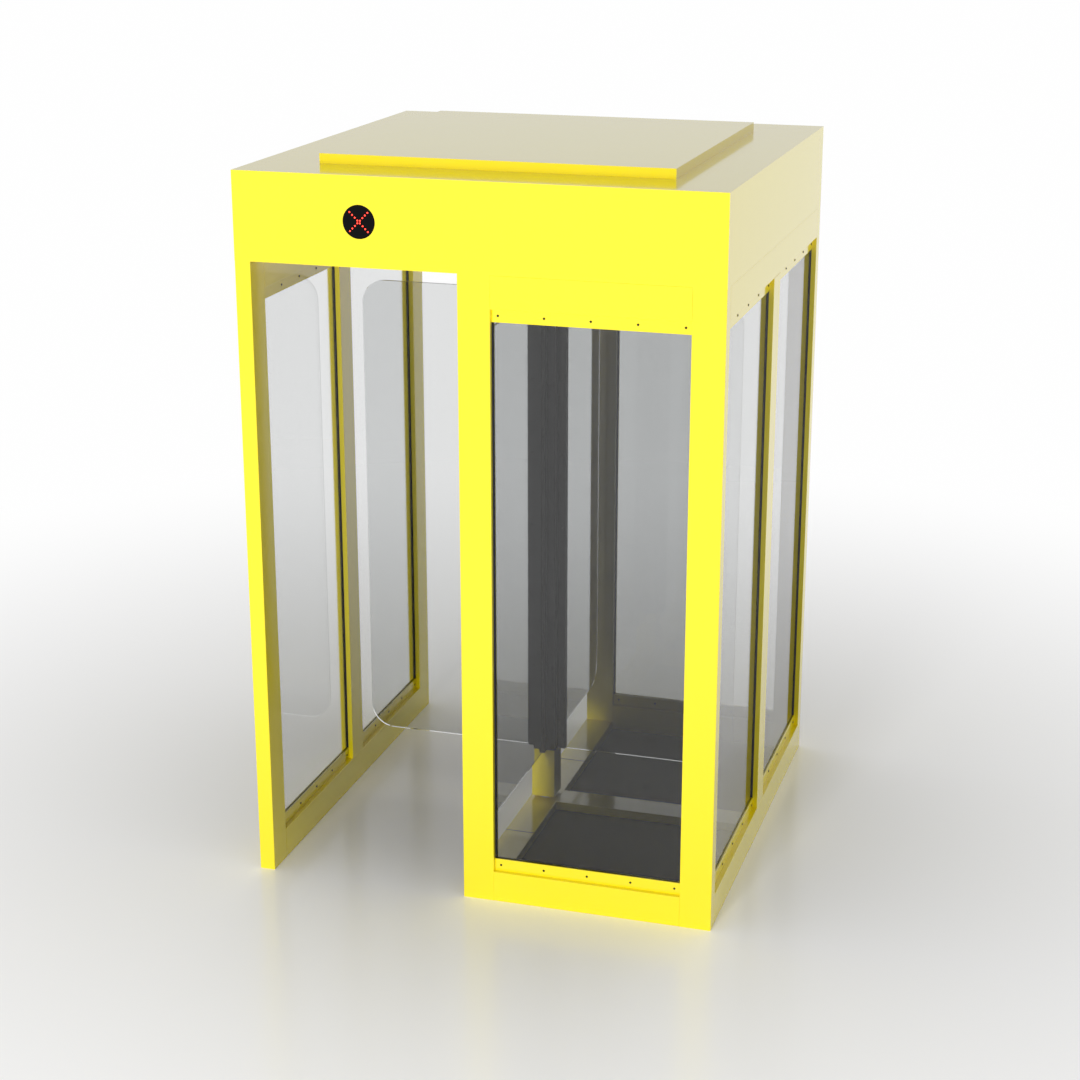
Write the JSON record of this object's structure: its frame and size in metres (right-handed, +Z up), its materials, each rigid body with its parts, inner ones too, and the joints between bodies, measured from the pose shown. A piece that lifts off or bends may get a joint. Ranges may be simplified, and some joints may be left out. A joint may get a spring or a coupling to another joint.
{
  "type": "full-height glass turnstile cabin",
  "caption": "Square yellow cabin of box section and glass, with a four-wing glass rotor that turns about its centre and a round signal lamp over the entrance.",
  "frame": {"origin": "on the floor at the cabin's centre, which is the rotor's axis", "axes": "+X to the right seen from the entrance, +Y from the entrance to the exit, +Z up"},
  "size_m": [1.5, 1.5, 2.3],
  "materials": {
    "yellow_enamel": "gloss enamel",
    "clear_glass": "toughened float glass, faintly grey",
    "wing_glass": "toughened float glass with polished edges",
    "black_rubber": "fine matt moulded rubber",
    "black_lens": "gloss black lens",
    "steel": "turned"
  },
  "bodies": {
    "cabin": {"front_left_post": "yellow_enamel", "rear_left_post": "yellow_enamel", "left_mullion": "yellow_enamel", "left_bottom_rail": "yellow_enamel", "left_top_rail": "yellow_enamel", "front_mid_post": "yellow_enamel", "front_right_post": "yellow_enamel", "front_bottom_rail": "yellow_enamel", "front_top_rail": "yellow_enamel", "rear_mid_post": "yellow_enamel", "rear_right_post": "yellow_enamel", "rear_bottom_rail": "yellow_enamel", "rear_top_rail": "yellow_enamel", "right_mullion": "yellow_enamel", "right_bottom_rail": "yellow_enamel", "right_top_rail": "yellow_enamel", "front_pane": "clear_glass", "rear_pane": "clear_glass", "left_panes": "clear_glass", "right_panes": "clear_glass", "front_strips": "yellow_enamel", "rear_strips": "yellow_enamel", "left_strips": "yellow_enamel", "right_strips": "yellow_enamel", "front_fascia": "yellow_enamel", "rear_fascia": "yellow_enamel", "left_fascia": "yellow_enamel", "right_fascia": "yellow_enamel", "roof_panel": "yellow_enamel", "ceiling_panel": "yellow_enamel", "roof_cover": "yellow_enamel", "front_indicator": "black_lens", "rear_indicator": "black_lens", "long_kerb": "yellow_enamel", "cross_kerb": "yellow_enamel", "front_floor_plate": "black_rubber", "rear_floor_plate": "black_rubber", "lower_pivot": "steel", "upper_bearing": "steel"},
    "rotor": {"rotor_column": "yellow_enamel", "wing_clamps": "yellow_enamel", "left_wing": "wing_glass", "right_wing": "wing_glass", "front_wing": "wing_glass", "rear_wing": "wing_glass"}
  },
  "joints": [
    {"name": "rotor_spin", "type": "hinge", "parent": "cabin", "child": "rotor", "pos_m": [0, 0, 0], "axis": [0, 0, 1], "continuous": true}
  ]
}
